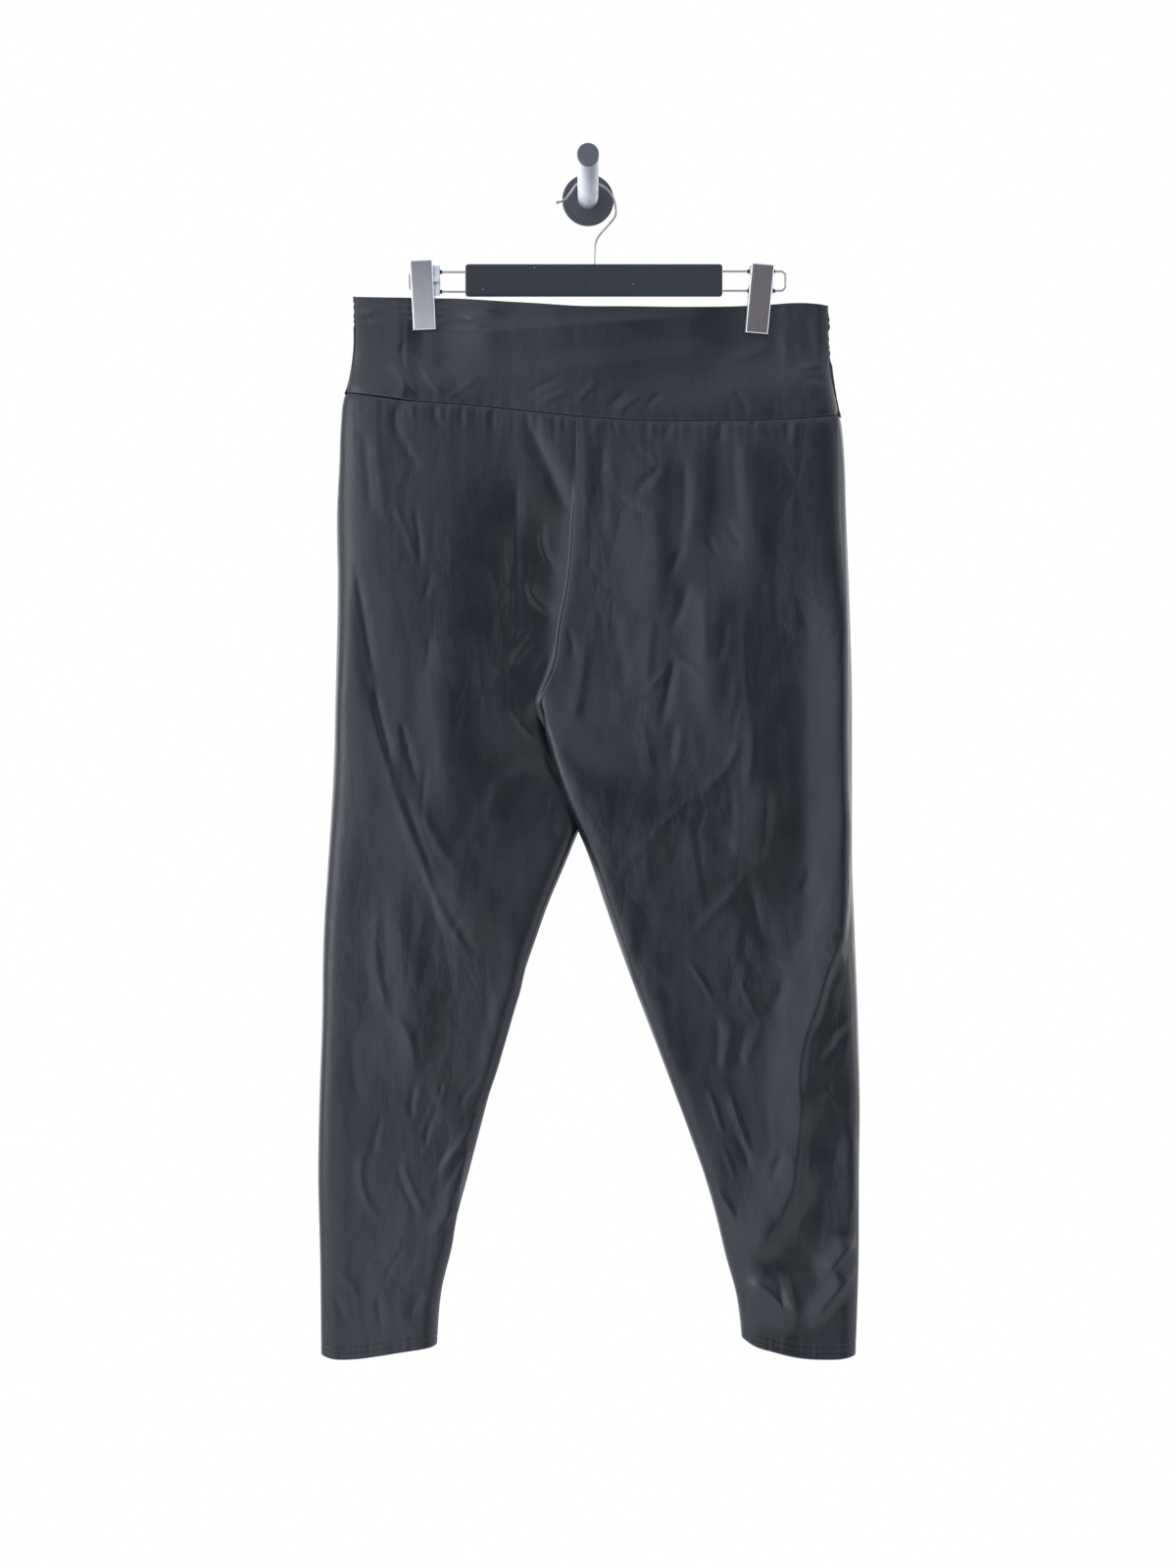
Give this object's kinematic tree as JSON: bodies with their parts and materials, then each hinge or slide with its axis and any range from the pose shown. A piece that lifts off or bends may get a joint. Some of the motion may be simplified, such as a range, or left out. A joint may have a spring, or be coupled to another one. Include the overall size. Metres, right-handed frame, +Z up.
{
  "type": "leggings on a clip hanger and wall peg",
  "caption": "High-waisted coated leggings with a wide waistband, held flat by a clip hanger that hangs on a round wall peg.",
  "frame": {"origin": "centre of the wall plate's back face, where it lies on the wall", "axes": "+Z up, along the legs' length; +Y into the wall; +X to the right of someone facing the garment"},
  "size_m": [0.4855, 0.16, 1.0681],
  "materials": {
    "band_cloth": "satin coated stretch cloth, doubled",
    "leg_cloth": "satin coated stretch cloth",
    "flock": "flocked",
    "chrome_wire": "polished",
    "clip_steel": "brushed",
    "slider_steel": "polished",
    "clip_rubber": "matt",
    "peg_steel": "brushed",
    "peg_black": "satin"
  },
  "bodies": {
    "root": {"waistband_front": "band_cloth", "waistband_back": "band_cloth", "leg_left": "leg_cloth", "leg_right": "leg_cloth", "hanger_bar": "flock", "hanger_hook": "chrome_wire", "hanger_loop_left": "chrome_wire", "hanger_loop_right": "chrome_wire", "clip_left_plate_front": "clip_steel", "clip_left_pad_front": "clip_rubber", "clip_left_plate_back": "clip_steel", "clip_left_pad_back": "clip_rubber", "clip_left_slider": "slider_steel", "clip_right_plate_front": "clip_steel", "clip_right_pad_front": "clip_rubber", "clip_right_plate_back": "clip_steel", "clip_right_pad_back": "clip_rubber", "clip_right_slider": "slider_steel", "peg_plate": "peg_black", "peg_rod": "peg_steel", "peg_cap": "peg_black"}
  },
  "joints": []
}
